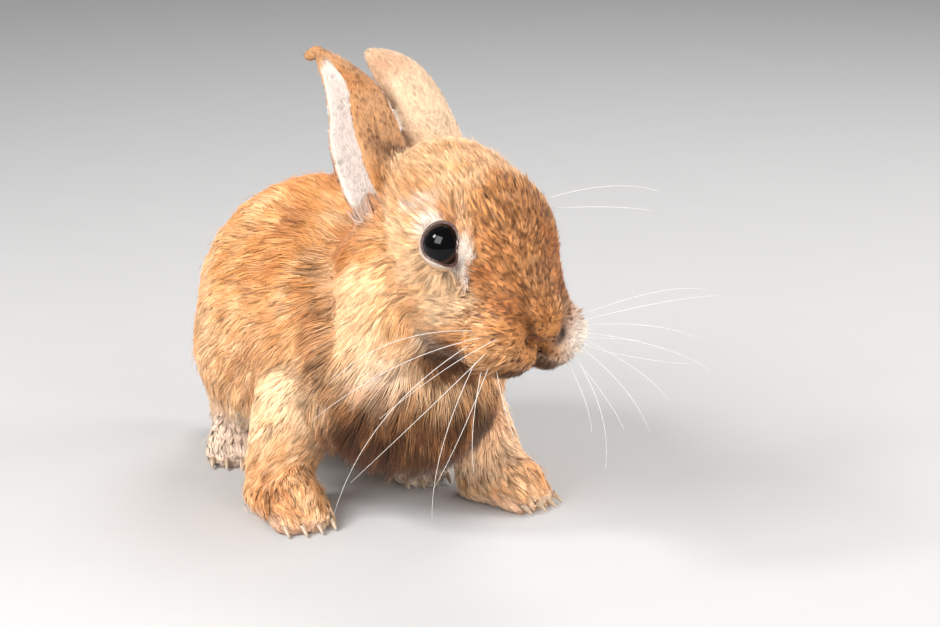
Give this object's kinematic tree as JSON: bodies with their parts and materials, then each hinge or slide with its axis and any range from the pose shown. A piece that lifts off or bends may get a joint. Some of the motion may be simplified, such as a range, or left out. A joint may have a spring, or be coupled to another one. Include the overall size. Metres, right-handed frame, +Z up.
{
  "type": "dwarf rabbit",
  "caption": "Life-size still model of an orange dwarf rabbit in a slow step, head turned a little to its left, ears up and back, long whiskers spread.",
  "frame": {"origin": "middle of the box round the whole rabbit, on the floor", "axes": "+X the way the trunk faces, +Y the rabbit's left, +Z up"},
  "size_m": [0.2268, 0.153, 0.1563],
  "materials": {
    "coat_orange": "short dense orange fur, darker tips on the nose and back",
    "coat_pale": "short dense cream fur",
    "skin": "thin skin under the coat, pink at the nose, eye rims and inner ears",
    "whisker": "stiff pale bristle",
    "eye": "wet, very dark brown",
    "claw": "smooth translucent horn"
  },
  "bodies": {
    "root": {"trunk": "coat_orange", "neck": "coat_orange", "skull": "coat_orange", "muzzle": "coat_orange", "jaw": "coat_pale", "tail": "coat_pale", "whisker_pad_left": "coat_orange", "eye_left": "eye", "ear_left": "coat_orange", "foreleg_left": "coat_orange", "forepaw_left": "coat_pale", "thigh_left": "coat_orange", "hind_foot_left": "coat_pale", "fore_claw_left_1": "claw", "fore_claw_left_2": "claw", "fore_claw_left_3": "claw", "fore_claw_left_4": "claw", "fore_claw_left_5": "claw", "hind_claw_left_1": "claw", "hind_claw_left_2": "claw", "hind_claw_left_3": "claw", "hind_claw_left_4": "claw", "whisker_pad_right": "coat_orange", "eye_right": "eye", "ear_right": "coat_orange", "foreleg_right": "coat_orange", "forepaw_right": "coat_pale", "thigh_right": "coat_orange", "hind_foot_right": "coat_pale", "fore_claw_right_1": "claw", "fore_claw_right_2": "claw", "fore_claw_right_3": "claw", "fore_claw_right_4": "claw", "fore_claw_right_5": "claw", "hind_claw_right_1": "claw", "hind_claw_right_2": "claw", "hind_claw_right_3": "claw", "hind_claw_right_4": "claw"}
  },
  "joints": []
}
